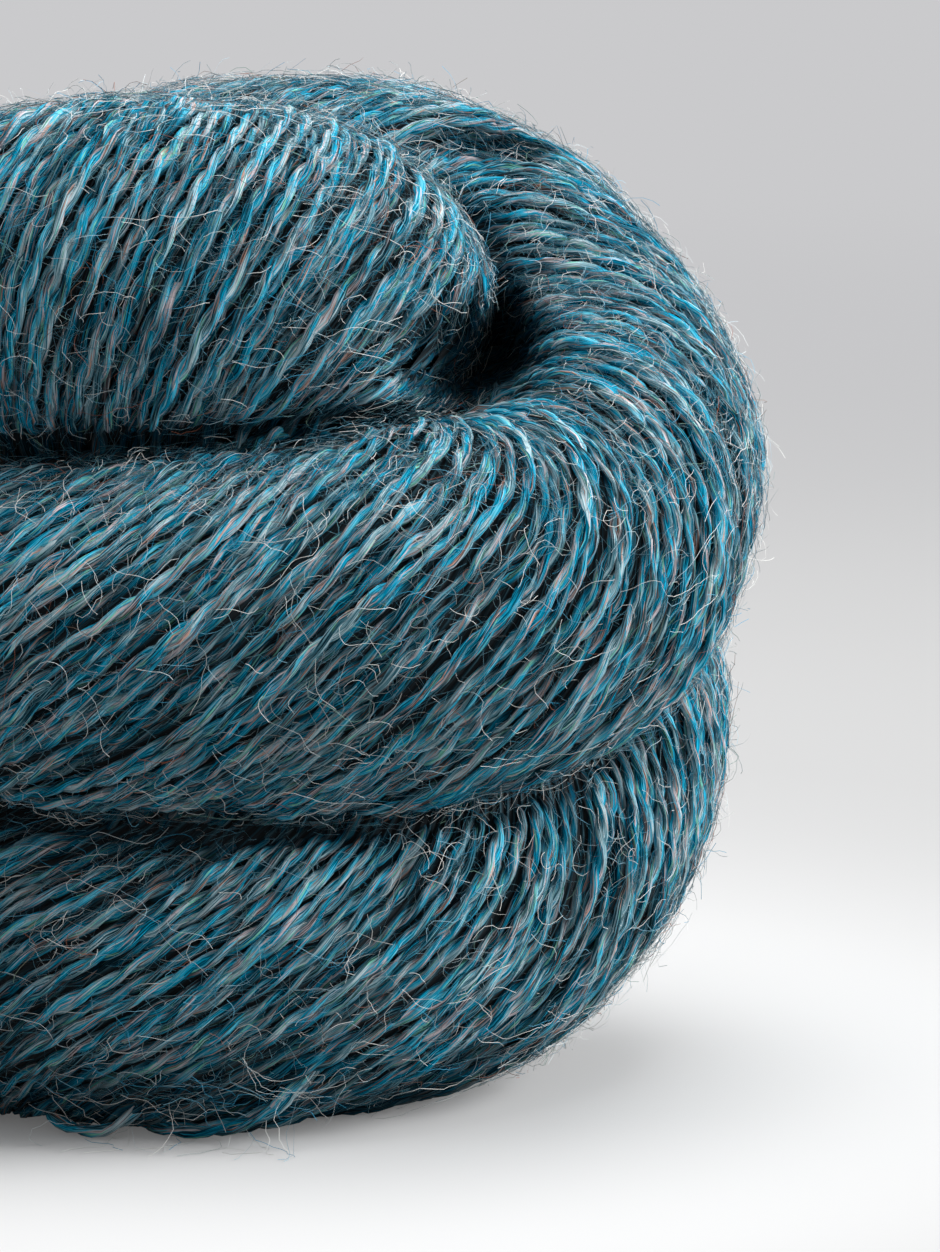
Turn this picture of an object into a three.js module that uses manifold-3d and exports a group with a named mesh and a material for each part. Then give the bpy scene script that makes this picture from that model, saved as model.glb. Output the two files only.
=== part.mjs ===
// A hank of two-ply wool yarn, twisted, folded on itself and lying on its long side.
// The skein is one endless bundle of yarn. Twisted, it doubles up into four arms that ply
// round each other. At +X one end of it is tucked through the loop of the other.
// Millimetres and degrees, +X along the hank to its tucked end, -Y to the front, +Z up.

import * as THREE from 'three';
import { mergeVertices } from 'three/addons/utils/BufferGeometryUtils.js';
import Module from 'manifold-3d';

// The bundle of yarn. Its own twist closes after whole turns, one side of the section a ring.
const ARM_RADIUS = 13.6;
const RIDGE_HEIGHT = 0.35;
const SIDES = 20;
const TWIST_TURNS = 8;
const RING_COUNT = TWIST_TURNS * SIDES;
const LENGTHS = 16;
const SAMPLES = 2 * RING_COUNT;
const EASING_ROUNDS = 6;
const SMALLEST_STEP = 0.1;

// The plied body: four arms round an axis that runs along X
const BODY_START = -82;
const BODY_END = 8;
const BODY_STATIONS = 9;
const AXIS_HEIGHT = 32.4;
const PLY_RADIUS = 19.4;
const PLY_RATE = 2.5;
const PLY_FADE = 26;

// Each arm's angle round the axis where the body ends, from the top towards the front
const ARM_ANGLE = { back: -98, top: -10, middle: 76, bottom: 166 };

// The arms press flat against each other along the axis, so no channel is left between them
const PRESSED_RADIUS = 9;
const PRESSED_START = -90;
const PRESSED_END = 24;

// The folded end: how far out each fold reaches, and how full it is
const FOLD_REACH = 0.95;
const FOLD_FULLNESS = 0.86;
const FOLD_ANGLES = [45, 90, 135];

// The outer loop, from the middle arm round the eye to the back arm
const OUTER_LOOP = [
  { x: 26, y: -17.3, z: 38.4, radius: 13.4 },
  { x: 44, y: -14.8, z: 40.2, radius: 13.3 },
  { x: 60, y: -14.8, z: 39.4, radius: 14.6 },
  { x: 75, y: -12.8, z: 39.8, radius: 15.4 },
  { x: 89.7, y: -7.5, z: 41.8, radius: 14.6 },
  { x: 96.2, y: 2.5, z: 50.2, radius: 11.7 },
  { x: 92.6, y: 12.5, z: 59.4, radius: 10.5 },
  { x: 84.6, y: 17.5, z: 66.4, radius: 10.8 },
  { x: 73, y: 18.0, z: 69.0, radius: 12.1 },
  { x: 59, y: 18.2, z: 66.4, radius: 12.8 },
  { x: 43, y: 19.6, z: 56.8, radius: 13.2 },
  { x: 26, y: 20.2, z: 44.5, radius: 13.6 },
];

// The tucked loop, from the bottom arm up behind the outer loop, through the eye, to the top arm
const TUCKED_LOOP = [
  { x: 26, y: -2.5, z: 13.4, radius: 13.8 },
  { x: 42, y: -5.5, z: 13.6, radius: 14.1 },
  { x: 56, y: -11.5, z: 13.6, radius: 14.3 },
  { x: 70, y: -10.0, z: 13.6, radius: 14.5 },
  { x: 83.2, y: -2.5, z: 15.2, radius: 14.5 },
  { x: 92.4, y: 8.0, z: 25.0, radius: 13.2 },
  { x: 91.5, y: 17.0, z: 38.5, radius: 11.4 },
  { x: 85, y: 17.0, z: 50.0, radius: 9.8 },
  { x: 76.4, y: 9.5, z: 60.0, radius: 9.2 },
  { x: 73.2, y: -4.0, z: 65.6, radius: 12.6 },
  { x: 60, y: -9.6, z: 66.6, radius: 14.4 },
  { x: 47, y: -8.0, z: 65.4, radius: 13.7 },
  { x: 34, y: -4.5, z: 60.4, radius: 13.6 },
  { x: 21, y: -1.5, z: 56.0, radius: 13.6 },
];

// The surface that the hank lies on, which flattens the yarn where they meet
const SURFACE_BLOCK = { length: 400, width: 200, depth: 40 };

const WOOL = { color: '#3c6170', roughness: 0.95, metalness: 0 };

const wasm = await Module();
wasm.setup();

// The ply fades out towards the folds, where the arms run straight along X
function bodyStation(arm, x) {
  const faded = Math.max(0, BODY_START + PLY_FADE - x) ** 2 / (2 * PLY_FADE);
  const turn = PLY_RATE * (x - BODY_END + faded);
  const angle = THREE.MathUtils.degToRad(ARM_ANGLE[arm] + turn);
  return {
    x,
    y: -PLY_RADIUS * Math.sin(angle),
    z: AXIS_HEIGHT + PLY_RADIUS * Math.cos(angle),
    radius: ARM_RADIUS,
  };
}

function bodyArm(arm, start, end) {
  const stations = [];
  for (let i = 0; i < BODY_STATIONS; i += 1) {
    const x = THREE.MathUtils.lerp(start, end, i / (BODY_STATIONS - 1));
    stations.push(bodyStation(arm, x));
  }
  return stations;
}

// Half a turn from the end of one arm to the end of its neighbour
function fold(fromArm, toArm) {
  const from = bodyStation(fromArm, BODY_START);
  const to = bodyStation(toArm, BODY_START);
  const reach = FOLD_REACH * Math.hypot(from.y - to.y, from.z - to.z) / 2;
  return FOLD_ANGLES.map((degrees) => {
    const angle = THREE.MathUtils.degToRad(degrees);
    const across = (1 - Math.cos(angle)) / 2;
    return {
      x: BODY_START - reach * Math.sin(angle),
      y: THREE.MathUtils.lerp(from.y, to.y, across),
      z: THREE.MathUtils.lerp(from.z, to.z, across),
      radius: ARM_RADIUS * FOLD_FULLNESS,
    };
  });
}

// The whole endless route of the bundle, in the order that the yarn runs
const STATIONS = [
  ...bodyArm('middle', BODY_START, BODY_END),
  ...OUTER_LOOP,
  ...bodyArm('back', BODY_END, BODY_START),
  ...fold('back', 'bottom'),
  ...bodyArm('bottom', BODY_START, BODY_END),
  ...TUCKED_LOOP,
  ...bodyArm('top', BODY_END, BODY_START),
  ...fold('top', 'middle'),
];

// The stations' radius part of the way along the route, from 0 to 1
function stationRadius(part) {
  const place = part * STATIONS.length;
  const index = Math.floor(place);
  const before = STATIONS[index % STATIONS.length];
  const after = STATIONS[(index + 1) % STATIONS.length];
  return THREE.MathUtils.lerp(before.radius, after.radius, place - index);
}

// Even samples of the route, eased by averaging neighbours so that no bend has a corner
function easedSamples() {
  const points = STATIONS.map(({ x, y, z }) => new THREE.Vector3(x, y, z));
  const route = new THREE.CatmullRomCurve3(points, true, 'centripetal');
  route.arcLengthDivisions = 20 * STATIONS.length;
  let samples = [];
  for (let i = 0; i < SAMPLES; i += 1) {
    const along = i / SAMPLES;
    const radius = stationRadius(route.getUtoTmapping(along));
    samples.push({ centre: route.getPointAt(along), radius });
  }
  for (let round = 0; round < EASING_ROUNDS; round += 1) {
    samples = samples.map((sample, i) => {
      const before = samples[(i + SAMPLES - 1) % SAMPLES];
      const after = samples[(i + 1) % SAMPLES];
      const centre = before.centre.clone().lerp(after.centre, 0.5).lerp(sample.centre, 0.5);
      const radius = (before.radius + 2 * sample.radius + after.radius) / 4;
      return { centre, radius };
    });
  }
  return samples;
}

// Rings of the bundle's section, evenly spaced along the route. Every other corner stands
// proud, and each ring is turned on by one side, so the ridges show the yarn's long twist.
function bundleRings() {
  const samples = easedSamples();
  const route = new THREE.CatmullRomCurve3(samples.map(({ centre }) => centre), true);
  const frames = route.computeFrenetFrames(RING_COUNT, true);
  const rings = [];
  for (let i = 0; i < RING_COUNT; i += 1) {
    const { centre, radius } = samples[i * SAMPLES / RING_COUNT];
    const corners = [];
    for (let side = 0; side < SIDES; side += 1) {
      const angle = (side - i) * 2 * Math.PI / SIDES;
      const reach = radius + (side % 2 ? -RIDGE_HEIGHT : RIDGE_HEIGHT);
      const corner = centre.clone();
      corner.addScaledVector(frames.normals[i], reach * Math.cos(angle));
      corner.addScaledVector(frames.binormals[i], reach * Math.sin(angle));
      corners.push(corner);
    }
    rings.push({ centre, corners });
  }
  return rings;
}

function solidFrom(positions, triangles) {
  return new wasm.Manifold(new wasm.Mesh({
    numProp: 3,
    vertProperties: new Float32Array(positions),
    triVerts: new Uint32Array(triangles),
  }));
}

function solidOfGeometry(geometry) {
  geometry.deleteAttribute('normal');
  geometry.deleteAttribute('uv');
  const merged = mergeVertices(geometry);
  return solidFrom(merged.attributes.position.array, merged.index.array);
}

// One length of the bundle: a closed solid through its rings, with flat ends
function solidThrough(rings) {
  const corners = rings.flatMap((ring) => ring.corners);
  const startCentre = corners.length;
  const endCentre = startCentre + 1;
  const endRing = startCentre - SIDES;
  corners.push(rings[0].centre, rings[rings.length - 1].centre);
  const triangles = [];
  for (let side = 0; side < SIDES; side += 1) {
    const next = (side + 1) % SIDES;
    for (let ring = 0; ring < endRing; ring += SIDES) {
      const beyond = ring + SIDES;
      triangles.push(ring + side, ring + next, beyond + next);
      triangles.push(ring + side, beyond + next, beyond + side);
    }
    triangles.push(startCentre, next, side);
    triangles.push(endCentre, endRing + side, endRing + next);
  }
  return solidFrom(corners.flatMap((corner) => corner.toArray()), triangles);
}

function pressedMiddle() {
  const length = PRESSED_END - PRESSED_START;
  const geometry = new THREE.CylinderGeometry(PRESSED_RADIUS, PRESSED_RADIUS, length, SIDES);
  geometry.rotateZ(Math.PI / 2);
  geometry.translate((PRESSED_START + PRESSED_END) / 2, 0, AXIS_HEIGHT);
  return solidOfGeometry(geometry);
}

function belowSurface() {
  const { length, width, depth } = SURFACE_BLOCK;
  const geometry = new THREE.BoxGeometry(length, width, depth);
  geometry.translate(0, 0, -depth / 2);
  return solidOfGeometry(geometry);
}

function hankSolid() {
  const rings = bundleRings();
  const perLength = RING_COUNT / LENGTHS;
  let solid = pressedMiddle();
  for (let first = 0; first < RING_COUNT; first += perLength) {
    const length = [];
    for (let i = first; i <= first + perLength; i += 1) {
      length.push(rings[i % RING_COUNT]);
    }
    solid = solid.add(solidThrough(length));
  }
  return outerShell(solid.subtract(belowSurface()).simplify(SMALLEST_STEP));
}

// The solid without the slits that its arms shut in between them
function outerShell(solid) {
  const shells = solid.decompose();
  shells.sort((one, other) => other.volume() - one.volume());
  return shells[0];
}

// The solid as a geometry, with its origin under the middle of its box
function centredGeometry(solid) {
  const mesh = solid.getMesh();
  const geometry = new THREE.BufferGeometry();
  geometry.setAttribute('position', new THREE.BufferAttribute(mesh.vertProperties, mesh.numProp));
  geometry.setIndex(new THREE.BufferAttribute(mesh.triVerts, 1));
  geometry.computeBoundingBox();
  const centre = geometry.boundingBox.getCenter(new THREE.Vector3());
  geometry.translate(-centre.x, -centre.y, 0);
  geometry.computeVertexNormals();
  return geometry;
}

const hank = new THREE.Mesh(centredGeometry(hankSolid()), new THREE.MeshStandardMaterial(WOOL));
hank.name = 'hank';

const yarnHank = new THREE.Group();
yarnHank.name = 'yarn_hank';
yarnHank.add(hank);

export default yarnHank;
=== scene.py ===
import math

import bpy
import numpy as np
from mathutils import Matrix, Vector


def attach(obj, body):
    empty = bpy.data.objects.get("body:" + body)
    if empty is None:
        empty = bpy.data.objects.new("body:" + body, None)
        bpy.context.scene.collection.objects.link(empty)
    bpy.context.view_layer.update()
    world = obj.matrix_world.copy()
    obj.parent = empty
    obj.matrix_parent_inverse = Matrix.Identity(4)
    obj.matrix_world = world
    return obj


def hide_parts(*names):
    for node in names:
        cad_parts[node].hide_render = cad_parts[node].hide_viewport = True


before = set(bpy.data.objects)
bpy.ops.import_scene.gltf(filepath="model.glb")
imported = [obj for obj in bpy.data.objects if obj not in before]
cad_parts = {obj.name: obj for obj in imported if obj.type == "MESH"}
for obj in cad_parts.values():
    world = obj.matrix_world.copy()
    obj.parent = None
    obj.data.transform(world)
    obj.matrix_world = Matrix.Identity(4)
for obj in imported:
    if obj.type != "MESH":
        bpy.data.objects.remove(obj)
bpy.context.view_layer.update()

# A twisted hank of two-ply wool yarn, lying on a pale table. The bundle of yarn follows the
# same route as the CAD part. Lengths of yarn lie on its surface, a dark core of yarn fills the
# gaps between them, and loose fibres stand over them. Shapes are worked out in millimetres and
# go into Blender in metres.

rng = np.random.default_rng(20)
METRE = 0.001

# The route's own origin lies this far from the middle of the CAD box
BOX_MIDDLE = np.array([0.446, 0.446, 0.0])

# ---------------------------------------------------------------- the bundle's route

ARM_RADIUS = 13.6
BODY_START, BODY_END, BODY_STATIONS = -82.0, 8.0, 9
AXIS_HEIGHT = 32.4
PLY_RADIUS = 19.4
PLY_RATE = 2.5
PLY_FADE = 26.0
ARM_ANGLE = {"back": -98.0, "top": -10.0, "middle": 76.0, "bottom": 166.0}
FOLD_REACH = 0.95
FOLD_FULLNESS = 0.86
FOLD_ANGLES = (45, 90, 135)
EASED_SAMPLES = 320
EASING_ROUNDS = 6
ROUTE_STEP = 0.3
BEND_EASING = 5.0

# How far the yarn winds round the bundle, in degrees for each millimetre along it
BODY_TWIST = 3.0

# x, y, z, the bundle's radius, and the yarn's twist
OUTER_LOOP = [
    (26, -17.3, 38.4, 13.4, 3.0),
    (44, -14.8, 40.2, 13.3, 3.3),
    (60, -14.8, 39.4, 14.6, 4.1),
    (75, -12.8, 39.8, 15.4, 3.9),
    (89.7, -7.5, 41.8, 14.6, 9.0),
    (96.2, 2.5, 50.2, 11.7, 7.4),
    (92.6, 12.5, 59.4, 10.5, 4.9),
    (84.6, 17.5, 66.4, 10.8, 4.4),
    (73, 18.0, 69.0, 12.1, 6.4),
    (59, 18.2, 66.4, 12.8, 5.8),
    (43, 19.6, 56.8, 13.2, 3.4),
    (26, 20.2, 44.5, 13.6, 3.0),
]
TUCKED_LOOP = [
    (26, -2.5, 13.4, 13.8, 3.4),
    (42, -5.5, 13.6, 14.1, 4.2),
    (56, -11.5, 13.6, 14.3, 5.0),
    (70, -10.0, 13.6, 14.5, 4.4),
    (83.2, -2.5, 15.2, 14.5, 4.4),
    (92.4, 8.0, 25.0, 13.2, 5.4),
    (91.5, 17.0, 38.5, 11.4, 5.5),
    (85, 17.0, 50.0, 9.8, 6.0),
    (76.4, 9.5, 60.0, 9.2, 9.0),
    (73.2, -4.0, 65.6, 12.6, 15.0),
    (60, -9.6, 66.6, 14.4, 18.0),
    (47, -8.0, 65.4, 13.7, 11.0),
    (34, -4.5, 60.4, 13.6, 6.0),
    (21, -1.5, 56.0, 13.6, 3.8),
]


def body_station(arm, x):
    """One place on an arm where the four arms lie plied, as a row like those above."""
    faded = max(0.0, BODY_START + PLY_FADE - x) ** 2 / (2 * PLY_FADE)
    angle = math.radians(ARM_ANGLE[arm] + PLY_RATE * (x - BODY_END + faded))
    y = -PLY_RADIUS * math.sin(angle)
    z = AXIS_HEIGHT + PLY_RADIUS * math.cos(angle)
    return (x, y, z, ARM_RADIUS, BODY_TWIST)


def body_arm(arm, start, end):
    """The plied stretch of one arm, from one x to another."""
    return [body_station(arm, x) for x in np.linspace(start, end, BODY_STATIONS)]


def fold(from_arm, to_arm):
    """Half a turn from the end of one arm to the end of its neighbour."""
    start = np.array(body_station(from_arm, BODY_START))
    end = np.array(body_station(to_arm, BODY_START))
    reach = FOLD_REACH * np.hypot(*(start - end)[1:3]) / 2
    stations = []
    for degrees in FOLD_ANGLES:
        angle = math.radians(degrees)
        station = start + (end - start) * (1 - math.cos(angle)) / 2
        station[0] -= reach * math.sin(angle)
        station[3] *= FOLD_FULLNESS
        stations.append(tuple(station))
    return stations


STATIONS = np.array(
    body_arm("middle", BODY_START, BODY_END)
    + OUTER_LOOP
    + body_arm("back", BODY_END, BODY_START)
    + fold("back", "bottom")
    + body_arm("bottom", BODY_START, BODY_END)
    + TUCKED_LOOP
    + body_arm("top", BODY_END, BODY_START)
    + fold("top", "middle")
)


def closed_curve(points, power, per_span):
    """A smooth closed curve through rows that start with x, y and z. Power 0.5 keeps uneven
    spans from looping, and power 0 treats them all alike."""
    before, after = np.roll(points, 1, 0), np.roll(points, -1, 0)
    beyond = np.roll(points, -2, 0)
    spans = []
    for one, other in ((before, points), (points, after), (after, beyond)):
        distance = np.linalg.norm((other - one)[:, :3], axis=1)
        spans.append(np.maximum(distance, 1e-6)[:, None] ** power)
    first, middle, last = spans
    leaving = (points - before) / first - (after - before) / (first + middle)
    leaving = (leaving + (after - points) / middle) * middle
    reaching = (after - points) / middle - (beyond - points) / (middle + last)
    reaching = (reaching + (beyond - after) / last) * middle
    square = -3 * points + 3 * after - 2 * leaving - reaching
    cube = 2 * points - 2 * after + leaving + reaching
    rows = []
    for part in np.arange(per_span) / per_span:
        row = points + leaving * part + square * part**2 + cube * part**3
        row[:, 3:] = (points + (after - points) * part)[:, 3:]
        rows.append(row)
    return np.stack(rows, 1).reshape(-1, points.shape[1])


def even_samples(curve, count):
    """The closed curve again as count rows at even distances, and its length."""
    closed = np.vstack([curve, curve[:1]])
    steps = np.linalg.norm(np.diff(closed[:, :3], axis=0), axis=1)
    along = np.concatenate([[0], np.cumsum(steps)])
    wanted = np.linspace(0, along[-1], count, endpoint=False)
    columns = [np.interp(wanted, along, column) for column in closed.T]
    return np.stack(columns, 1), along[-1]


def bundle_route(step):
    """The whole route through the stations, eased so that no bend is sudden."""
    through = closed_curve(STATIONS, power=0.5, per_span=24)
    samples, _ = even_samples(through, EASED_SAMPLES)
    for _ in range(EASING_ROUNDS):
        samples = (np.roll(samples, 1, 0) + 2 * samples + np.roll(samples, -1, 0)) / 4
    curve = closed_curve(samples, power=0.0, per_span=16)
    _, length = even_samples(curve, EASED_SAMPLES)
    return even_samples(curve, round(length / step))


def unit(vectors):
    return vectors / np.linalg.norm(vectors, axis=-1, keepdims=True)


def carried_frames(centres):
    """Tangents and two normals that turn as little as they can and still close up."""
    tangents = unit(np.roll(centres, -1, 0) - np.roll(centres, 1, 0))
    normals = np.zeros_like(centres)
    normals[0] = unit(np.array([0, 0, 1.0]) - tangents[0] * tangents[0, 2])
    for i in range(1, len(centres)):
        carried = normals[i - 1]
        normals[i] = unit(carried - tangents[i] * (carried @ tangents[i]))
    last = unit(normals[-1] - tangents[0] * (normals[-1] @ tangents[0]))
    gap = math.atan2(np.cross(last, normals[0]) @ tangents[0], last @ normals[0])
    share = (gap * np.arange(len(centres)) / len(centres))[:, None]
    sides = np.cross(tangents, normals)
    normals = normals * np.cos(share) + sides * np.sin(share)
    return tangents, normals, np.cross(tangents, normals)


route, route_length = bundle_route(ROUTE_STEP)
route_step = route_length / len(route)
centres = route[:, :3] - BOX_MIDDLE
radii = route[:, 3]
tangents, normals, sides = carried_frames(centres)


def eased_along(rows, reach):
    """Rows along the closed route, each averaged with those within about that reach."""
    waves = np.fft.rfftfreq(len(rows), route_step)
    fade = np.exp(-2 * (math.pi * waves * reach) ** 2)[:, None]
    return np.fft.irfft(np.fft.rfft(rows, axis=0) * fade, len(rows), axis=0)


bend = (np.roll(tangents, -1, 0) - np.roll(tangents, 1, 0)) / (2 * route_step)
bend = eased_along(bend, BEND_EASING)

twist_rate = np.radians(route[:, 4])
whole_turns = round(twist_rate.sum() * route_step / (2 * math.pi))
twist_rate *= whole_turns * 2 * math.pi / (twist_rate.sum() * route_step)
twist = np.cumsum(twist_rate) * route_step

# ---------------------------------------------------------------- lengths of yarn

YARN_WIDTH = 1.2
YARN_SPACING = 1.03
PLY_PITCH = 7.0
STRANDS, STRAND_BITS = 64, 6
ANGLE_STEPS = 96

# Where fewer yarns fit round the bundle, some sink under the others: over how many yarns one
# does so, and how deep it goes
SINK_SPREAD, SINK_DEPTH, SINK_POWER = 8, 1.4, 1.6
LEAST_SHOWN = 0.06

# How far the yarns stray sideways and up and down, each as a slow drift and a quick wobble:
# the amount, and its shortest and longest wave along the bundle
SIDE_DRIFT, SIDE_DRIFT_WAVES = 0.18, (28, 160)
RISE_DRIFT, RISE_DRIFT_WAVES = 0.24, (24, 140)
SIDE_WOBBLE, RISE_WOBBLE, WOBBLE_WAVES = 0.04, 0.06, (6, 16)

# Groups of yarns stand up together as low ridges, which drift round the bundle
RIDGES, RIDGE_HEIGHT, RIDGE_DRIFT, RIDGE_WAVES = (3, 7, 12, 19), 0.16, 1.2, (40, 200)

# Where two arms meet the yarn is drawn back, and painted shade darkens its colour towards the
# crease
CREASE_DEPTH, CREASE_REACH, CREASE_END = 1.4, 3.0, 0.3
CREASE_SHADE, SHADE_REACH = 1.1, 4.5

# Where the yarn is drawn back into the hank: the eye that the tucked end goes through, and the
# crease behind it. Middle x and z, half length, half height, and how deep it is.
HOLLOWS = [(83.6, 60.2, 6.6, 4.4, 15.0), (86.4, 75.1, 7.5, 2.2, 5.0)]
# HOLLOW_SHADE is painted shade: the yarn's colour darkens the further it is drawn back
HOLLOW_RIM, HOLLOWS_END_Y, HOLLOWS_FADE, HOLLOW_SHADE = 1.25, 20.0, 8.0, 0.2

# Painted shade: the yarn's colour is painted darkest on the underside, close to the table
UNDER_SHADE, UNDER_REACH = 1.0, 8.0

# Another part of the bundle is one that lies further off than this along the route
OTHER_ARM_APART, POST_SPACING, NOWHERE_NEAR = 38.0, 3.0, -99
BURIED_DEPTH = 3.0
FLOOR_CLEARANCE = 0.55

# The right half of the front is laid with the finest yarn. It starts at this x and faces this
# way, and reaches round until the yarn is turned this far from it.
FRONT_START_X, FRONT_TURN = 36.0, -0.3
FRONT = np.array([0, -0.985, 0.174])
# Elsewhere the yarn is plainest where two arms meet and where it faces the table
MEETING, FACING_TABLE = 0.3, -0.8

# How much the yarns spread and close up round a bend, at most
SPREAD_LIMITS = (0.3, 2.0)
# Yarn that winds steeply opens on the outside of a bend, so more of it is needed there
CROWDING, CROWDING_FROM, CROWDING_OVER = 0.35, 1.5, 2


def smooth(share):
    """An even climb from 0 to 1, level at both ends."""
    share = np.clip(share, 0, 1)
    return share * share * (3 - 2 * share)


def wander(rows, shortest, longest, waves=6):
    """One smooth random line for each row, which closes up round the route."""
    turns = rng.integers(
        round(route_length / longest), round(route_length / shortest) + 1, (rows, waves)
    )
    starts = rng.uniform(0, 2 * math.pi, (rows, waves))
    along = 2 * math.pi * np.arange(len(route)) / len(route)
    lines = np.zeros((rows, len(route)))
    for wave in range(waves):
        lines += np.sin(turns[:, wave, None] * along + starts[:, wave, None])
    return lines * math.sqrt(2 / waves)


def strand_density():
    """How many yarns fit round the bundle for each radian, at each place along it. Yarn on
    the outside of a bend runs more along the bundle, so more of it fits there."""
    angles = np.arange(ANGLE_STEPS) * 2 * math.pi / ANGLE_STEPS
    toward = (bend * normals).sum(1)[:, None] * np.cos(angles)
    toward += (bend * sides).sum(1)[:, None] * np.sin(angles)
    stretch = np.clip(1 - radii[:, None] * toward, *SPREAD_LIMITS)
    across = (radii * twist_rate)[:, None]
    lean = stretch / np.sqrt(stretch**2 + across**2)
    crowded = 1 + CROWDING * smooth((across - CROWDING_FROM) / CROWDING_OVER)
    return radii[:, None] * lean * crowded / YARN_SPACING


def reversed_bits(number, bits):
    """Numbers in an order that keeps those next to each other far apart."""
    return int(format(number, f"0{bits}b")[::-1], 2)


def strand_angles(shares, density):
    """Turns shares of the yarns, from 0 to 1 round the bundle, into angles round it."""
    step = 2 * math.pi / ANGLE_STEPS
    filled = np.cumsum(density, 1) * step
    total = filled[:, -1:]
    filled = np.hstack([np.zeros_like(total), filled]) / total
    edges = np.arange(ANGLE_STEPS + 1) * step
    lag = (filled - edges / (2 * math.pi)).mean(1)
    angles = np.empty_like(shares)
    for i in range(len(route)):
        placed = shares[:, i] + lag[i]
        turns = np.floor(placed)
        angles[:, i] = np.interp(placed - turns, filled[i], edges) + turns * 2 * math.pi
    return angles


density = strand_density()
shown_count = density.sum(1) * 2 * math.pi / ANGLE_STEPS
ranks = np.array([reversed_bits(k, STRAND_BITS) for k in range(STRANDS)])
shown = smooth((shown_count[None, :] - ranks[:, None]) / SINK_SPREAD + 0.5)
shares = (np.cumsum(shown, 0) - shown / 2) / shown.sum(0) - twist / (2 * math.pi)
aside = wander(STRANDS, *SIDE_DRIFT_WAVES) * SIDE_DRIFT
aside = aside + wander(STRANDS, *WOBBLE_WAVES) * SIDE_WOBBLE
shares += aside / shown_count
angles = strand_angles(shares, density)

lift = wander(STRANDS, *RISE_DRIFT_WAVES) * RISE_DRIFT
lift = lift + wander(STRANDS, *WOBBLE_WAVES) * RISE_WOBBLE
group = np.arange(STRANDS)[:, None] * 2 * math.pi / STRANDS
for ridges in RIDGES:
    lift += RIDGE_HEIGHT * np.sin(ridges * group + wander(1, *RIDGE_WAVES) * RIDGE_DRIFT)
depth = -YARN_WIDTH / 2 + lift - SINK_DEPTH * (1 - shown) ** SINK_POWER


def surface_points(angles, depth):
    """Points round the bundle, and which way is out at each."""
    out = np.cos(angles)[..., None] * normals + np.sin(angles)[..., None] * sides
    return centres + (radii + depth)[..., None] * out, out


def inside_other_arm(points, pace=1):
    """How far each point lies inside another part of the bundle, less than 0 outside it.
    The points stand at every pace-th place along the route."""
    post_pace = max(1, round(POST_SPACING / route_step))
    apart = OTHER_ARM_APART / route_length
    posts, post_radii = centres[::post_pace], radii[::post_pace]
    post_place = np.arange(len(centres))[::post_pace] / len(centres)
    place = np.arange(len(centres))[::pace] / len(centres)
    gap = np.abs(place[:, None] - post_place)
    other = np.minimum(gap, 1 - gap) > apart
    inside = np.empty(points.shape[:2])
    for k in range(len(points)):
        distance = np.linalg.norm(points[k][:, None] - posts[None], axis=2)
        inside[k] = np.where(other, post_radii - distance, NOWHERE_NEAR).max(1)
    return inside


def crease(inside):
    """How far the yarn draws back where two arms meet, so that a deep crease opens."""
    return CREASE_DEPTH * smooth(1 + inside / CREASE_REACH) * smooth(CREASE_END - inside)


def drawn_back(points):
    """Points near the middle of a hollow, moved back into the hank."""
    moved = points.copy()
    in_front = smooth((HOLLOWS_END_Y - points[..., 1]) / HOLLOWS_FADE)
    for x, z, half_length, half_height, deep in HOLLOWS:
        off = np.hypot((points[..., 0] - x) / half_length, (points[..., 2] - z) / half_height)
        moved -= FRONT * (deep * smooth(HOLLOW_RIM - off) * in_front)[..., None]
    return moved


level, outward = surface_points(angles, depth)
inside = inside_other_arm(level)
level -= outward * crease(inside)[..., None]
points = drawn_back(level)
buried = (inside > BURIED_DEPTH) | (shown < LEAST_SHOWN)

# How high the yarn lies over the bundle's surface, lowered further as painted shade where another
# arm shades it, in the hollows and underneath. It sets only how dark the yarn's colour is painted.
height = depth - crease(inside) - CREASE_SHADE * smooth(1 + inside / SHADE_REACH)
height -= HOLLOW_SHADE * np.linalg.norm(points - level, axis=2)
# 0 where the yarn faces a little down, and 1 where it faces well down
downward = smooth(-2 * outward[..., 2] - 0.6)
height -= UNDER_SHADE * downward * smooth(2 - points[..., 2] / UNDER_REACH)

points[..., 2] = np.maximum(points[..., 2], FLOOR_CLEARANCE)
front = (points[..., 0] > FRONT_START_X) & (outward @ FRONT > FRONT_TURN)
under = ~front & ((inside > MEETING) | (outward[..., 2] < FACING_TABLE))

# ---------------------------------------------------------------- tubes of yarn

# Corner places of the yarn's section, for a width of 1: two plies side by side, an oval, and
# the plain one of the yarn that lies underneath
TWO_PLIES = np.array([
    (0.56, 0), (0.4, 0.36), (0, 0.22), (-0.4, 0.36),
    (-0.56, 0), (-0.4, -0.36), (0, -0.22), (0.4, -0.36),
])
OVAL = np.array([
    (0.6, 0), (0.32, 0.4), (-0.32, 0.4), (-0.6, 0), (-0.32, -0.4), (0.32, -0.4),
])
PLAIN = np.array([(0.58, 0), (0, 0.45), (-0.58, 0), (0, -0.45)])


def runs(mask):
    """First and last places of each unbroken stretch of a closed line where mask holds."""
    if mask.all():
        return [(0, len(mask))]
    found = []
    start = int(np.argmin(mask))
    turned = np.roll(mask, -start)
    edges = np.flatnonzero(np.diff(np.concatenate([[0], turned.astype(int), [0]])))
    for first, last in zip(edges[::2], edges[1::2]):
        found.append((start + first, start + last - 1))
    return found


# Heights between which the painted shade on the yarn's colour fades from darkest to none
DEEPEST, HIGHEST = -1.5, 0.1

# Millimetres round one yarn, and how much further round it each fibre lies than the ply does
ROUND_YARN = 3.8
FIBRE_SHEAR = -0.6
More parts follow.
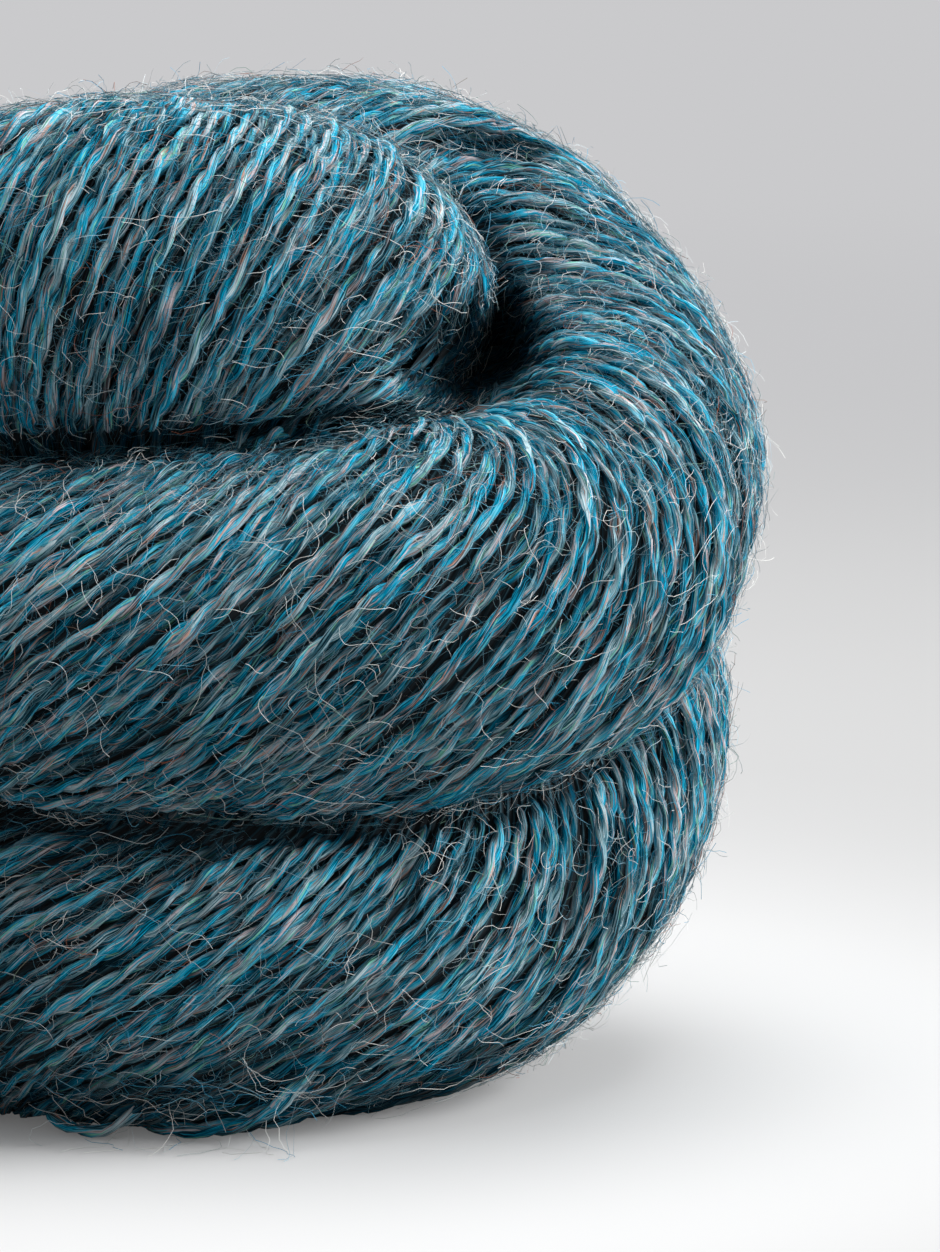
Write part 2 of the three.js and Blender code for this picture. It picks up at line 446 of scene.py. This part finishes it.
# Where each yarn's own stretch of the pattern starts, across and along
PATTERN_ACROSS, PATTERN_ALONG = 9.7, 31.3
# Room left on the map after each yarn, at the end of each row, and at a row's two edges
MAP_GAP, MAP_ROW_END, MAP_EDGE = 2.0, 3.0, 0.08


class YarnMesh:
    """Tubes of yarn gathered into one mesh, with a map for each length of yarn."""

    def __init__(self):
        self.corners, self.faces, self.flat, self.real, self.open = [], [], [], [], []
        self.count, self.length = 0, 0.0

    def add(self, line, out, section, pitch, phase, ident, width=1.0, height=9.0):
        """One tube along line. Its section turns once in each pitch. height says how far it lies
        over the bundle's surface, less any painted shade, and sets only how dark its colour is
        painted there."""
        ahead = unit(np.gradient(line, axis=0))
        up = unit(out - ahead * (out * ahead).sum(1, keepdims=True))
        across = np.cross(ahead, up)
        steps = np.linalg.norm(np.diff(line, axis=0), axis=1)
        along = np.concatenate([[0], np.cumsum(steps)])
        turn = phase - 2 * math.pi * along / pitch
        size = np.broadcast_to(width, along.shape)[:, None]
        a, b = section[:, 0] * size, section[:, 1] * size
        cos, sin = np.cos(turn)[:, None], np.sin(turn)[:, None]
        ring = (a * cos - b * sin)[..., None] * up[:, None]
        ring = ring + (a * sin + b * cos)[..., None] * across[:, None]
        rings, count = len(line), len(section)
        self.corners.append((line[:, None] + ring).reshape(-1, 3))
        # Painted shade: the deeper a corner lies, the darker its colour is painted
        risen = np.broadcast_to(height, along.shape)[:, None] + (ring * out[:, None]).sum(-1)
        self.open.append(smooth((risen - DEEPEST) / (HIGHEST - DEEPEST)).ravel())
        index = np.arange(rings * count).reshape(rings, count) + self.count
        beside = np.roll(index, -1, 1)
        tube = np.stack([index[:-1], beside[:-1], beside[1:], index[1:]], -1)
        if count == 2:
            tube = tube[:, :1]
        caps = []
        for j in range(count // 2 - 1):
            order = [j, j + 1, count - 2 - j, count - 1 - j]
            caps.append(index[0][order][::-1])
            caps.append(index[-1][order])
        caps = np.array(caps, dtype=int).reshape(-1, 4)
        self.faces.append(np.vstack([tube.reshape(-1, 4), caps]))
        self.map_faces(along, rings, tube.shape[1], len(caps), ident, pitch)
        self.count += rings * count

    def map_faces(self, along, rings, count, caps, ident, pitch):
        """The two maps of one tube's faces: along and round it, and in millimetres of yarn
        with the fibres slanting as the plies do."""
        j = np.arange(count)
        low, high = np.broadcast_arrays(along[:-1, None], along[1:, None])
        near = np.broadcast_to(j, (rings - 1, count)) / count
        far = near + 1 / count
        start, end = (np.broadcast_to(side, near.shape) for side in (low, high))
        v = np.stack([start, start, end, end], -1)
        u = np.stack([near, far, far, near], -1)
        shear = FIBRE_SHEAR * ROUND_YARN * v / pitch
        real = np.stack([
            u * ROUND_YARN + shear + PATTERN_ACROSS * ident, v + PATTERN_ALONG * ident,
        ], -1)
        flat = np.stack([v + self.length, u], -1)
        self.length += along[-1] + MAP_GAP
        cap = np.zeros((caps, 4, 2))
        cap_real = np.broadcast_to(real.reshape(-1, 4, 2)[:1], (caps, 4, 2))
        cap[..., 0], cap[..., 1] = flat[0, 0, 0, 0], 0.5
        self.real.append(np.vstack([real.reshape(-1, 4, 2), cap_real]))
        self.flat.append(np.vstack([flat.reshape(-1, 4, 2), cap]))

    def unwrapped(self):
        """The lengths of yarn laid in rows that fill a square, none of them shared."""
        flat = np.concatenate(self.flat)
        rows = max(1, math.ceil(math.sqrt(self.length / ROUND_YARN)))
        row_length = self.length / rows
        row = np.floor(flat[:, 0, 0] / row_length)[:, None]
        x = (flat[..., 0] - row * row_length) / (row_length + MAP_ROW_END)
        y = (row + MAP_EDGE + (1 - 2 * MAP_EDGE) * flat[..., 1]) / rows
        return np.stack([x, y * 0.999], -1)

    def piece(self, name, material):
        """The gathered tubes as one piece, which knows how much painted shade darkens each
        corner's colour.
        """
        corners, faces = np.concatenate(self.corners), np.concatenate(self.faces)
        real = np.concatenate(self.real)
        made = mesh_piece(name, corners, faces, self.unwrapped(), real, material)
        painted_light = made.data.attributes.new("painted_light", "FLOAT", "POINT")
        painted_light.data.foreach_set("value", np.concatenate(self.open).astype(np.float32))
        return made


def mesh_piece(name, corners, faces, flat, real, material):
    """A piece of the hank from four-sided faces, with its two maps: one that shares nothing,
    and one in millimetres of yarn."""
    mesh = bpy.data.meshes.new(name)
    mesh.vertices.add(len(corners))
    mesh.vertices.foreach_set("co", (corners * METRE).astype(np.float32).ravel())
    mesh.loops.add(faces.size)
    mesh.loops.foreach_set("vertex_index", faces.astype(np.int32).ravel())
    mesh.polygons.add(len(faces))
    mesh.polygons.foreach_set("loop_start", np.arange(0, faces.size, 4, dtype=np.int32))
    mesh.update(calc_edges=True)
    mesh.shade_smooth()
    for title, values in (("OFBake", flat), ("yarn_mm", real)):
        layer = mesh.uv_layers.new(name=title)
        layer.uv.foreach_set("vector", values.astype(np.float32).ravel())
    mesh.materials.append(material)
    piece = bpy.data.objects.new(name, mesh)
    bpy.context.scene.collection.objects.link(piece)
    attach(piece, "root")
    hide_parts("hank")
    return piece


def resampled(line, others, step):
    """A line and what goes with it at even steps of about that length."""
    steps = np.linalg.norm(np.diff(line, axis=0), axis=1)
    along = np.concatenate([[0], np.cumsum(steps)])
    count = max(3, round(along[-1] / step) + 1)
    wanted = np.linspace(0, along[-1], count)
    rows = np.hstack([line] + others)
    return np.stack([np.interp(wanted, along, column) for column in rows.T], 1)


# ---------------------------------------------------------------- finishes


def linear(text):
    """A colour written as sRGB hex, as the linear numbers that Blender works in."""
    parts = [int(text[i:i + 2], 16) / 255 for i in (1, 3, 5)]
    parts = [p / 12.92 if p <= 0.04045 else ((p + 0.055) / 1.055) ** 2.4 for p in parts]
    return (*parts, 1.0)


def node(tree, kind, inputs=(), **settings):
    """Adds one node to tree. Inputs pairs a socket's name or number with a value or with
    another node's output."""
    made = tree.nodes.new(kind)
    for name, value in settings.items():
        setattr(made, name, value)
    for socket, value in dict(inputs).items():
        if isinstance(value, bpy.types.NodeSocket):
            tree.links.new(value, made.inputs[socket])
        else:
            made.inputs[socket].default_value = value
    return made


def set_stops(ramp, stops):
    """Gives a colour ramp its stops, each a place and an sRGB hex colour."""
    first, *middle, last = stops
    ramp.elements[0].position, ramp.elements[0].color = first[0], linear(first[1])
    ramp.elements[1].position, ramp.elements[1].color = last[0], linear(last[1])
    for position, colour in middle:
        ramp.elements.new(position).color = linear(colour)


def new_material(name):
    material = bpy.data.materials.new(name)
    material.use_nodes = True
    material.node_tree.nodes.clear()
    return material, material.node_tree


def heathered_wool(name):
    """Wool dyed in the fibre and blended before spinning, then two threads plied. Fibres of
    slate, cyan, taupe and near-black lie side by side along the yarn, with a dry dull
    surface and a faint bloom at grazing angles."""
    material, tree = new_material(name)
    place = node(tree, "ShaderNodeUVMap", uv_map="yarn_mm")
    streaks = []
    # Streaks for each millimetre across and along, how much finer detail, and where from. A
    # wool fibre is 0.03 mm thick, and the finest streaks here are a few fibres wide, to show.
    for across, along, detail, start in (
        (8.0, 0.26, 3.0, 0.0),
        (0.6, 0.07, 1.0, 7.0),
        (1.2, 0.12, 5.0, 57.0),
        (2.2, 0.16, 3.0, 19.0),
        (3.4, 0.24, 1.0, 31.0),
        (3.6, 0.26, 1.0, 43.0),
        (7.0, 0.5, 2.0, 3.0),
    ):
        scaled = node(tree, "ShaderNodeMapping", {
            "Vector": place.outputs[0], "Scale": (across, along, 1),
            "Location": (start, start, 0),
        })
        streaks.append(node(tree, "ShaderNodeTexNoise", {
            "Vector": scaled.outputs[0], "Scale": 1.0, "Detail": detail, "Roughness": 0.6,
            "Distortion": 0.3,
        }, noise_dimensions="2D").outputs[0])
    fine, broad, cool, taupe, rust, green, relief = streaks
    tone = node(tree, "ShaderNodeMix", {"Factor": 0.35, "A": fine, "B": broad})
    slate = node(tree, "ShaderNodeValToRGB", {"Fac": tone.outputs[0]})
    cyan = node(tree, "ShaderNodeValToRGB", {"Fac": tone.outputs[0]})
    tones = (0.36, 0.43, 0.485, 0.54, 0.62)
    set_stops(slate.color_ramp, zip(tones, (
        "#07212c", "#275564", "#558898", "#8fbbc8", "#d6eaf0",
    )))
    set_stops(cyan.color_ramp, zip(tones, (
        "#002b3a", "#00647e", "#0094ba", "#0cb8e2", "#76d8ee",
    )))
    colour = slate.outputs[0]
    # Which streaks, from and to which strength of them, the colour laid over, and how. A taupe,
    # rust or green fibre keeps how light it is, and only its hue differs.
    for share, low, high, over, blend in (
        (cool, 0.45, 0.54, cyan.outputs[0], "MIX"),
        (taupe, 0.58, 0.64, linear("#857d80"), "COLOR"),
        (rust, 0.67, 0.72, linear("#96776c"), "COLOR"),
        (green, 0.66, 0.72, linear("#5f9c8c"), "COLOR"),
    ):
        banded = node(tree, "ShaderNodeMapRange", {
            "Value": share, "From Min": low, "From Max": high,
        }, interpolation_type="SMOOTHSTEP")
        colour = node(tree, "ShaderNodeMix", {
            0: banded.outputs[0], 6: colour, 7: over,
        }, data_type="RGBA", blend_type=blend).outputs[2]
    # Painted shade: the colour is darkened where the yarn lies deep, between the yarns, in
    # creases, hollows and underneath
    painted_light = node(tree, "ShaderNodeAttribute", attribute_name="painted_light")
    painted_shade = node(tree, "ShaderNodeMix", {
        0: 1.0, 6: colour, 7: linear("#63777e"),
    }, data_type="RGBA", blend_type="MULTIPLY")
    colour = node(tree, "ShaderNodeMix", {
        0: painted_light.outputs["Fac"], 6: painted_shade.outputs[2], 7: colour,
    }, data_type="RGBA").outputs[2]
    bump = node(tree, "ShaderNodeBump", {
        "Strength": 0.9, "Distance": 0.00012, "Height": relief,
    })
    surface = node(tree, "ShaderNodeBsdfPrincipled", {
        "Base Color": colour, "Roughness": 0.85, "IOR": 1.5, "Specular IOR Level": 0.04,
        "Sheen Weight": 0.03, "Sheen Roughness": 0.5, "Sheen Tint": linear("#b9d4dc"),
        "Normal": bump.outputs[0],
    })
    node(tree, "ShaderNodeOutputMaterial", {"Surface": surface.outputs[0]})
    return material


def shaded_wool(name):
    """The same wool in the yarns under the outermost ones. They lie side by side in shade,
    so the eye meets dark rows with darker valleys between them."""
    material, tree = new_material(name)
    place = node(tree, "ShaderNodeUVMap", uv_map="yarn_mm")
    rows = node(tree, "ShaderNodeTexWave", {
        "Vector": place.outputs[0], "Scale": math.pi / (10 * YARN_SPACING), "Distortion": 1.2,
        "Detail": 1.0, "Detail Scale": 0.3,
    })
    scaled = node(tree, "ShaderNodeMapping", {
        "Vector": place.outputs[0], "Scale": (3.0, 0.3, 1),
    })
    fibres = node(tree, "ShaderNodeTexNoise", {
        "Vector": scaled.outputs[0], "Scale": 1.0, "Detail": 3.0,
    }, noise_dimensions="2D")
    tone = node(tree, "ShaderNodeValToRGB", {"Fac": fibres.outputs[0]})
    set_stops(tone.color_ramp, ((0.38, "#051820"), (0.52, "#12404f"), (0.66, "#4a7482")))
    valley = node(tree, "ShaderNodeMix", {
        0: rows.outputs[1], 6: linear("#031017"), 7: tone.outputs[0],
    }, data_type="RGBA")
    bump = node(tree, "ShaderNodeBump", {
        "Strength": 1.0, "Distance": 0.0006, "Height": rows.outputs[1],
    })
    surface = node(tree, "ShaderNodeBsdfPrincipled", {
        "Base Color": valley.outputs[2], "Roughness": 0.95, "Normal": bump.outputs[0],
    })
    node(tree, "ShaderNodeOutputMaterial", {"Surface": surface.outputs[0]})
    return material


def loose_fibres(name):
    """Single wool fibres that have worked loose from the yarn: mostly undyed and pale, with
    a few blue, rust and green ones. Each keeps one colour for its whole length."""
    material, tree = new_material(name)
    place = node(tree, "ShaderNodeUVMap", uv_map="yarn_mm")
    scaled = node(tree, "ShaderNodeMapping", {
        "Vector": place.outputs[0], "Scale": (0.01, 0.01, 1),
    })
    pick = node(tree, "ShaderNodeTexNoise", {
        "Vector": scaled.outputs[0], "Scale": 1.0, "Detail": 0.0,
    }, noise_dimensions="2D")
    tint = node(tree, "ShaderNodeValToRGB", {"Fac": pick.outputs[0]})
    set_stops(tint.color_ramp, (
        (0.28, "#1c96bf"), (0.34, "#6fb8d4"), (0.40, "#d6e2e5"), (0.50, "#f4f4f0"),
        (0.60, "#e8e8e4"), (0.68, "#a9b4b7"), (0.73, "#6fa896"), (0.76, "#9a5a44"),
    ))
    surface = node(tree, "ShaderNodeBsdfPrincipled", {
        "Base Color": tint.outputs[0], "Roughness": 0.6, "IOR": 1.55,
    })
    node(tree, "ShaderNodeOutputMaterial", {"Surface": surface.outputs[0]})
    return material


wool = heathered_wool("heathered_wool")
fibre_wool = loose_fibres("loose_wool_fibres")
core_wool = shaded_wool("heathered_wool_in_shade")

# ---------------------------------------------------------------- the yarn itself

FINE_STEP, COARSE_STEP, PLAIN_STEP = 1.0, 1.8, 3.0
SHORTEST_RUN = 4
MOST_TRIANGLES = 190_000
# Wool is spun a little uneven, thick and thin, tight and loose
THICK_AND_THIN, THICK_WAVES = 0.12, (5, 30)
LOOSE_AND_TIGHT = (0.9, 1.12)

widths = wander(STRANDS, *THICK_WAVES) * THICK_AND_THIN + 1.0
phases = rng.uniform(0, 2 * math.pi, STRANDS)
pitches = rng.uniform(*LOOSE_AND_TIGHT, STRANDS) * PLY_PITCH


def lay_yarn(name, places, section, step):
    """Lays the lengths of yarn where places holds, in as many pieces as they need."""
    gathered, number = YarnMesh(), 1
    for k in range(STRANDS):
        for first, last in runs(places[k]):
            if last - first < SHORTEST_RUN:
                continue
            index = np.arange(first, last + 1) % len(route)
            others = [outward[k, index], widths[k, index, None], height[k, index, None]]
            rows = resampled(points[k, index], others, step)
            gathered.add(
                rows[:, :3], rows[:, 3:6], section, pitches[k], phases[k], k,
                width=rows[:, 6], height=rows[:, 7],
            )
            if gathered.count * 2 > MOST_TRIANGLES:
                gathered.piece(f"{name}_{number}", wool)
                gathered, number = YarnMesh(), number + 1
    if gathered.count:
        gathered.piece(f"{name}_{number}", wool)


lay_yarn("yarn_front", front & ~buried, TWO_PLIES, FINE_STEP)
lay_yarn("yarn_round", ~front & ~buried & ~under, OVAL, COARSE_STEP)
lay_yarn("yarn_under", under & ~buried, PLAIN, PLAIN_STEP)


# Lengths of yarn that have slipped out under the hank and lie slack before it: x, y and z
# along each
SLACK_YARN = (
    [(79.5, -14.0, 14.0), (75.5, -19.5, 9.6), (72.3, -20.5, 6.4), (70.2, -21.0, 4.6),
     (68.2, -20.6, 2.9), (66.0, -19.8, 1.7), (63.1, -19.0, 0.9), (60.2, -17.6, 0.65),
     (57.0, -14.5, 0.6), (54.5, -11.5, 0.6)],
    [(77.5, -15.0, 11.5), (73.8, -19.6, 7.6), (71.1, -20.6, 5.0), (69.3, -21.0, 3.3),
     (67.0, -20.8, 2.0), (64.4, -20.2, 1.1), (61.6, -19.2, 0.7), (58.6, -16.6, 0.6),
     (56.5, -12.5, 0.6)],
    [(66.0, -19.5, 12.5), (62.4, -20.0, 8.0), (60.4, -19.6, 5.2), (58.9, -19.4, 3.4),
     (57.3, -19.6, 1.9), (55.6, -19.4, 0.9), (53.6, -18.6, 0.65), (51.6, -17.6, 1.2),
     (50.2, -15.5, 2.4), (49.6, -11.0, 4.0)],
)
# SLACK_SHADE is painted shade, which darkens the slack yarn's colour a little
SLACK_WIDTH, SLACK_SHADE, SLACK_TURN = 0.95, 0.25, 2.0


def lay_slack_yarn():
    gathered, per_span = YarnMesh(), 16
    for number, stations in enumerate(SLACK_YARN):
        stations = np.array(stations, float) - BOX_MIDDLE
        line = closed_curve(stations, 0.5, per_span)[:per_span * (len(stations) - 1) + 1]
        line = resampled(line, [], FINE_STEP)
        out = np.repeat([FRONT], len(line), 0)
        gathered.add(
            line, out, TWO_PLIES, PLY_PITCH, number * SLACK_TURN, STRANDS + number,
            width=SLACK_WIDTH, height=HIGHEST - SLACK_SHADE,
        )
    gathered.piece("yarn_slack", wool)


lay_slack_yarn()


CORE_SIDES, CORE_STEP, CORE_DEPTH, CORE_CLEARANCE = 28, 2.0, 1.1, 0.2
# Where two arms meet the core swells, so that no light comes through between them
CORE_SWELL, SWELL_START = 0.9, 0.8


def core_of_yarn():
    """The yarn under the outermost lengths, as one closed tube that fills the gaps between
    them with shade."""
    around = np.arange(CORE_SIDES) * 2 * math.pi / CORE_SIDES
    pace = max(1, round(CORE_STEP / route_step))
    turned = around[:, None] - twist[None, ::pace]
    out = np.cos(turned)[..., None] * normals[::pace]
    out = out + np.sin(turned)[..., None] * sides[::pace]
    rings = centres[::pace] + (radii[::pace] - CORE_DEPTH)[:, None] * out
    swell = CORE_SWELL * smooth(inside_other_arm(rings, pace) + SWELL_START)
    rings = drawn_back(rings + out * swell[..., None])
    rings[..., 2] = np.maximum(rings[..., 2], CORE_CLEARANCE)
    rings = rings.transpose(1, 0, 2)
    count, width = rings.shape[:2]
    index = np.arange(count * width).reshape(count, width)
    over, beside = np.roll(index, -1, 0), np.roll(index, -1, 1)
    faces = np.stack([index, beside, np.roll(over, -1, 1), over], -1).reshape(-1, 4)
    u = (np.arange(width) / width)[None, :, None] + np.array([0, 1, 1, 0]) / width
    v = (np.arange(count) / count)[:, None, None] + np.array([0, 0, 1, 1]) / count
    u, v = np.broadcast_arrays(u, v)
    flat = np.stack([u, v], -1).reshape(-1, 4, 2)
    real = flat * np.array([2 * math.pi * ARM_RADIUS, route_length])
    return mesh_piece("yarn_core", rings.reshape(-1, 3), faces, flat, real, core_wool)


core_of_yarn()

# ---------------------------------------------------------------- loose fibres

# A wool fibre is 0.03 mm thick. It is drawn a little thicker, to show at all, as a ribbon
# that turns over slowly.
FIBRE_WIDTH, FIBRE_PITCH, FIBRE_CLEARANCE = 0.037, 60.0, 0.08
FIBRE = FIBRE_WIDTH / 2 * np.array([(1.0, 0.0), (-1.0, 0.0)])
CRINKLE = 0.04


def fibre_paths(count, places, lengths, joints, height, astray, kink):
    """Wandering lines over the yarn, as place along the route, angle round the bundle and
    height above it. They start where places holds. astray is how far they turn off the yarn's
    own direction, and kink how much they bend at each joint."""
    starts = np.argwhere(places)
    starts = starts[rng.integers(0, len(starts), count)]
    strand, place = starts[:, 0], starts[:, 1]
    length = rng.uniform(*lengths, count)
    heading = rng.normal(0, astray, count) - np.arctan(radii[place] * twist_rate[place])
    heading += math.pi * rng.integers(0, 2, count)
    step = (length / joints)[:, None]
    curl = rng.normal(0, kink, (count, joints + 2))
    curl = curl[:, 2:] + curl[:, 1:-1] + curl[:, :-2]
    headings = heading[:, None] + np.cumsum(curl * np.sqrt(step), 1)
    along = place[:, None] * route_step + np.cumsum(step * np.cos(headings), 1)
    round_bundle = angles[strand, place][:, None]
    round_bundle = round_bundle + np.cumsum(step * np.sin(headings), 1) / radii[place][:, None]
    # A fibre arches off the yarn with both its ends held, or stands off it by one free end
    part = np.linspace(0, 1, joints)
    arch = np.sin(math.pi * part) * rng.uniform(0, 1, (count, 1))
    free_end = part**1.5 * rng.uniform(0, 1, (count, 1)) ** 3
    rise = height * (0.4 * arch + free_end) + rng.normal(0, CRINKLE, (count, joints))
    return along, round_bundle, rise + lift[strand, place][:, None]


def lay_fibres(name, material, *kinds):
    """One piece of loose fibres. Each kind says how many, where, shortest and longest, joints,
    height, how far astray, and how much kink."""
    gathered, ident = YarnMesh(), 0
    for kind in kinds:
        for along, round_bundle, height in zip(*fibre_paths(*kind)):
            place = (along / route_step) % len(route)
            index = place.astype(int) % len(route)
            out = np.cos(round_bundle)[:, None] * normals[index]
            out = out + np.sin(round_bundle)[:, None] * sides[index]
            line = centres[index] + (radii[index] + height)[:, None] * out
            line = line + tangents[index] * ((place - index) * route_step)[:, None]
            line = drawn_back(line)
            line[:, 2] = np.maximum(line[:, 2], FIBRE_CLEARANCE)
            ident += 1
            gathered.add(line, out, FIBRE, FIBRE_PITCH, rng.uniform(0, math.pi), ident)
    gathered.piece(name, material)


# Places to start from: off the table, on the front, clear of the creases, at the front's
# rim, over its upper part, and on the rest of the hank
OFF_TABLE_Z, UPPER_Z = 3.0, 50
NEAR_CREASE, CLEAR_OF_CREASE = -0.5, -2.5
RIM_TURN = 0.3

off_table = points[..., 2] > OFF_TABLE_Z
on_front = front & ~buried & (inside < NEAR_CREASE) & off_table
in_clear = on_front & (inside < CLEAR_OF_CREASE)
rim = in_clear & (np.abs(outward @ FRONT) < RIM_TURN)
upper = in_clear & (points[..., 2] > UPPER_Z)
on_rest = ~front & ~buried & ~under & off_table

# The bloom is short matted fibres in the yarn's own colours
lay_fibres(
    "bloom_front", wool,
    (7000, on_front, (1.5, 5), 4, 0.3, 0.3, 0.15),
    (9000, on_front, (0.8, 2.5), 4, 0.35, 0.8, 0.3),
    (7000, upper, (1.5, 5), 4, 0.3, 0.5, 0.25),
)
lay_fibres("bloom_round", wool, (6000, on_rest, (1.5, 6), 4, 0.4, 0.5, 0.15))
lay_fibres(
    "stray_fibres_front", fibre_wool,
    (650, in_clear, (4, 15), 22, 0.7, 0.9, 0.35),
    (3400, in_clear, (1.5, 5), 8, 0.9, 0.7, 0.35),
    (3800, rim, (1, 3.6), 5, 2.0, 0.9, 0.35),
    (3000, upper, (1.2, 4), 5, 0.6, 0.8, 0.35),
)
lay_fibres(
    "stray_fibres_round", fibre_wool,
    (500, on_rest, (4, 14), 14, 0.8, 0.9, 0.35),
    (3000, on_rest, (1.5, 5), 5, 2.0, 0.8, 0.35),
)

TRAILING_EACH, TRAILING_JOINTS, TRAILING_STRIDE, TRAILING_KINK = 4, 9, 0.7, 0.5
TRAILING_CLEARANCE = 0.1


def lay_slack_fibres():
    """Fibres that trail from the slack yarn on to the table."""
    gathered, ident = YarnMesh(), 0
    out = np.repeat([FRONT], TRAILING_JOINTS, 0)
    for stations in SLACK_YARN:
        for station in stations[2:-2]:
            for _ in range(TRAILING_EACH):
                turn = rng.uniform(0, 2 * math.pi)
                turn = turn + np.cumsum(rng.normal(0, TRAILING_KINK, TRAILING_JOINTS))
                steps = np.stack([np.cos(turn), 0.3 * np.cos(2 * turn) - 0.5, np.sin(turn)], 1)
                line = np.array(station) - BOX_MIDDLE + np.cumsum(TRAILING_STRIDE * steps, 0)
                line[:, 2] = np.maximum(line[:, 2], TRAILING_CLEARANCE)
                ident += 1
                gathered.add(line, out, FIBRE, FIBRE_PITCH, rng.uniform(0, math.pi), ident)
    gathered.piece("slack_fibres", fibre_wool)


lay_slack_fibres()

# ---------------------------------------------------------------- table, light and camera

# The tone of the table at each distance in metres from its palest spot, and further off. This is
# painted light, a pale pool painted round the hank.
TABLE_TONES = (
    (0.045, "#ebebeb"), (0.07, "#dedede"), (0.1, "#cecece"), (0.13, "#cacaca"),
    (0.22, "#c3c3c3"), (0.36, "#b4b4b5"), (0.55, "#bebec0"), (0.75, "#cacacc"),
)
FAR_TONE = linear(TABLE_TONES[-1][1])
THROWN_TONE = linear("#8c8c8c")
PALEST_SPOT = (0.07, 0.0, 0.0)
LAMPLIT_TO, UNLIT_FROM, LEAST_GLOW = 0.2, 0.8, 0.1
TABLE_REACH = 5.0


def seen_rays(tree):
    """1 for what the eye meets directly, in a mirror or through glass, and 0 for bounced light."""
    ray = node(tree, "ShaderNodeLightPath")
    seen = ray.outputs["Is Camera Ray"]
    for other in ("Is Glossy Ray", "Is Transmission Ray"):
        seen = node(tree, "ShaderNodeMath", {0: seen, 1: ray.outputs[other]}, operation="MAXIMUM")
        seen = seen.outputs[0]
    return seen


def pale_table():
    """A wide table top under matt paper, with a pool of light painted palest round the hank. Paper
    has no shine, and what light it throws up on the hank is weaker than it looks itself."""
    corners = [(x * TABLE_REACH, y * TABLE_REACH, 0) for x, y in (
        (-1, -1), (1, -1), (1, 1), (-1, 1),
    )]
    mesh = bpy.data.meshes.new("table")
    mesh.from_pydata(corners, [], [(0, 1, 2, 3)])
    table = bpy.data.objects.new("table", mesh)
    bpy.context.scene.collection.objects.link(table)
    material, tree = new_material("matt_paper")
    place = node(tree, "ShaderNodeNewGeometry")
    away = node(tree, "ShaderNodeVectorMath", {
        0: place.outputs["Position"], 1: PALEST_SPOT,
    }, operation="DISTANCE")
    tint = node(tree, "ShaderNodeValToRGB", {"Fac": away.outputs["Value"]})
    tint.color_ramp.interpolation = "B_SPLINE"
    set_stops(tint.color_ramp, TABLE_TONES)
    own = node(tree, "ShaderNodeEmission", {"Color": tint.outputs[0], "Strength": 1.0})
    # The lamps light only the middle of the table, and further out it shows its painted tone unlit
    far = node(tree, "ShaderNodeMapRange", {
        "Value": away.outputs["Value"], "From Min": LAMPLIT_TO, "From Max": UNLIT_FROM,
        "To Min": LEAST_GLOW, "To Max": 1.0,
    }, interpolation_type="SMOOTHSTEP")
    seen = seen_rays(tree)
    thrown = node(tree, "ShaderNodeMix", {
        0: seen, 6: THROWN_TONE, 7: tint.outputs[0],
    }, data_type="RGBA")
    matt = node(tree, "ShaderNodeBsdfDiffuse", {"Color": thrown.outputs[2], "Roughness": 0.5})
    share = node(tree, "ShaderNodeMath", {0: seen, 1: far.outputs[0]}, operation="MULTIPLY")
    paper = node(tree, "ShaderNodeMixShader", {
        0: share.outputs[0], 1: matt.outputs[0], 2: own.outputs[0],
    })
    node(tree, "ShaderNodeOutputMaterial", {"Surface": paper.outputs[0]})
    mesh.materials.append(material)


pale_table()


MIDDLE_OF_END = Vector((0.05, 0, 0.03))


def soft_lamp(name, place, size, power):
    """A square softbox, size metres across, turned towards the hank's right end."""
    lamp = bpy.data.lights.new(name, "AREA")
    lamp.energy, lamp.size = power, size
    stand = bpy.data.objects.new(name, lamp)
    bpy.context.scene.collection.objects.link(stand)
    stand.location = place
    shining = MIDDLE_OF_END - Vector(place)
    stand.rotation_euler = shining.to_track_quat("-Z", "Y").to_euler()


soft_lamp("overhead_softbox", (0.05, 0.1, 1.3), size=1.0, power=13.5)
soft_lamp("side_softbox", (2.35, -0.1, 1.17), size=1.6, power=76.0)


def soft_room():
    """Even light from all round, while the room itself shows as plain as the far table."""
    world = bpy.data.worlds.new("soft_room")
    bpy.context.scene.world = world
    world.use_nodes = True
    tree = world.node_tree
    tree.nodes.clear()
    light = node(tree, "ShaderNodeBackground", {"Color": (0.97, 0.98, 1.0, 1), "Strength": 0.28})
    beyond = node(tree, "ShaderNodeBackground", {"Color": FAR_TONE, "Strength": 1.0})
    room = node(tree, "ShaderNodeMixShader", {
        0: seen_rays(tree), 1: light.outputs[0], 2: beyond.outputs[0],
    })
    node(tree, "ShaderNodeOutputWorld", {"Surface": room.outputs[0]})


soft_room()

CAMERA_ELEVATION = 10.0
CAMERA_DISTANCE = 0.340
CAMERA_AIM = Vector((0.084, -0.025, 0.0418)) - Vector(BOX_MIDDLE * METRE)
CAMERA_LENS, CAMERA_SENSOR = 130, 36

camera = bpy.data.cameras.new("camera")
camera.lens = CAMERA_LENS
camera.sensor_width = CAMERA_SENSOR
camera_stand = bpy.data.objects.new("camera", camera)
bpy.context.scene.collection.objects.link(camera_stand)
tilt = math.radians(CAMERA_ELEVATION)
looking = Vector((0, math.cos(tilt), -math.sin(tilt)))
camera_stand.location = CAMERA_AIM - looking * CAMERA_DISTANCE
camera_stand.rotation_euler = looking.to_track_quat("-Z", "Y").to_euler()
bpy.context.scene.camera = camera_stand
bpy.context.scene.view_settings.view_transform = "Standard"
